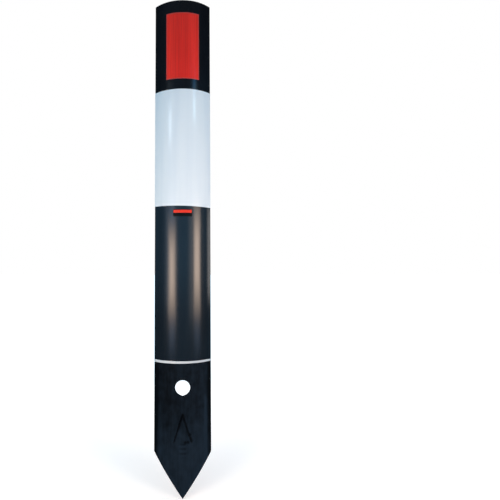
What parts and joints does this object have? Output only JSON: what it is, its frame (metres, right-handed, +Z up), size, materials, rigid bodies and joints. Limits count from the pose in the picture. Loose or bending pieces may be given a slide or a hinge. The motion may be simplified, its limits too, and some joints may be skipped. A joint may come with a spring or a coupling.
{
  "type": "flexible verge post",
  "caption": "Curved black polymer road marker post with a pointed stake, barb, white band and a reflector on each face; it folds flat at the ground and springs back.",
  "frame": {"origin": "on the blade's neutral axis, level with the ground line", "axes": "+Z up along the post, -Y out of the bowed front face with the red reflector, +X to the right seen from the front"},
  "size_m": [0.1556, 0.0348, 1.353],
  "materials": {
    "black_polymer": "satin extruded polymer, duller on the stake",
    "white_film": "satin self-adhesive vinyl film",
    "red_prismatic_film": "microprismatic retroreflective film",
    "white_prismatic_film": "microprismatic retroreflective film",
    "red_edge_seal": "clear-sealed border of the red film",
    "white_edge_seal": "clear-sealed border of the white film",
    "adhesive_backing": "pressure-sensitive adhesive sheet",
    "label_film": "blank vinyl label"
  },
  "bodies": {
    "stake": {"stake_blade": "black_polymer", "ground_line": "white_film"},
    "barb": {"anchor_barb": "black_polymer"},
    "flex_link_1": {"flex_link_1": "black_polymer"},
    "flex_link_2": {"flex_link_2": "black_polymer"},
    "flex_link_3": {"flex_link_3": "black_polymer"},
    "flex_link_4": {"flex_link_4": "black_polymer"},
    "flex_link_5": {"flex_link_5": "black_polymer"},
    "upper_post": {"upper_blade": "black_polymer", "white_band": "white_film", "blank_label": "label_film", "red_reflector_backing": "adhesive_backing", "red_reflector_face": "red_prismatic_film", "red_reflector_seal": "red_edge_seal", "white_reflector_backing": "adhesive_backing", "white_reflector_face": "white_prismatic_film", "white_reflector_seal": "white_edge_seal"}
  },
  "joints": [
    {"name": "fold_1", "type": "hinge", "parent": "stake", "child": "flex_link_1", "pos_m": [0, 0, 0.02], "axis": [1, 0, 0], "range_deg": [-15, 15], "stiffness_Nm_per_rad": 240, "deforming": ["flex_link_1"]},
    {"name": "fold_2", "type": "hinge", "parent": "flex_link_1", "child": "flex_link_2", "pos_m": [0, 0, 0.05], "axis": [1, 0, 0], "range_deg": [-15, 15], "stiffness_Nm_per_rad": 240, "deforming": ["flex_link_2"]},
    {"name": "fold_3", "type": "hinge", "parent": "flex_link_2", "child": "flex_link_3", "pos_m": [0, 0, 0.08], "axis": [1, 0, 0], "range_deg": [-15, 15], "stiffness_Nm_per_rad": 240, "deforming": ["flex_link_3"]},
    {"name": "fold_4", "type": "hinge", "parent": "flex_link_3", "child": "flex_link_4", "pos_m": [0, 0, 0.11], "axis": [1, 0, 0], "range_deg": [-15, 15], "stiffness_Nm_per_rad": 240, "deforming": ["flex_link_4"]},
    {"name": "fold_5", "type": "hinge", "parent": "flex_link_4", "child": "flex_link_5", "pos_m": [0, 0, 0.14], "axis": [1, 0, 0], "range_deg": [-15, 15], "stiffness_Nm_per_rad": 240, "deforming": ["flex_link_5"]},
    {"name": "fold_6", "type": "hinge", "parent": "flex_link_5", "child": "upper_post", "pos_m": [0, 0, 0.17], "axis": [1, 0, 0], "range_deg": [-15, 15], "stiffness_Nm_per_rad": 240},
    {"name": "barb_swing", "type": "hinge", "parent": "stake", "child": "barb", "pos_m": [0, -0.01243, -0.21], "axis": [1, 0, 0], "range_deg": [0, 35], "stiffness_Nm_per_rad": 0.8}
  ],
  "couplings": [
    {"joint": "fold_2", "follows": "fold_1", "ratio": 1},
    {"joint": "fold_3", "follows": "fold_1", "ratio": 1},
    {"joint": "fold_4", "follows": "fold_1", "ratio": 1},
    {"joint": "fold_5", "follows": "fold_1", "ratio": 1},
    {"joint": "fold_6", "follows": "fold_1", "ratio": 1}
  ]
}
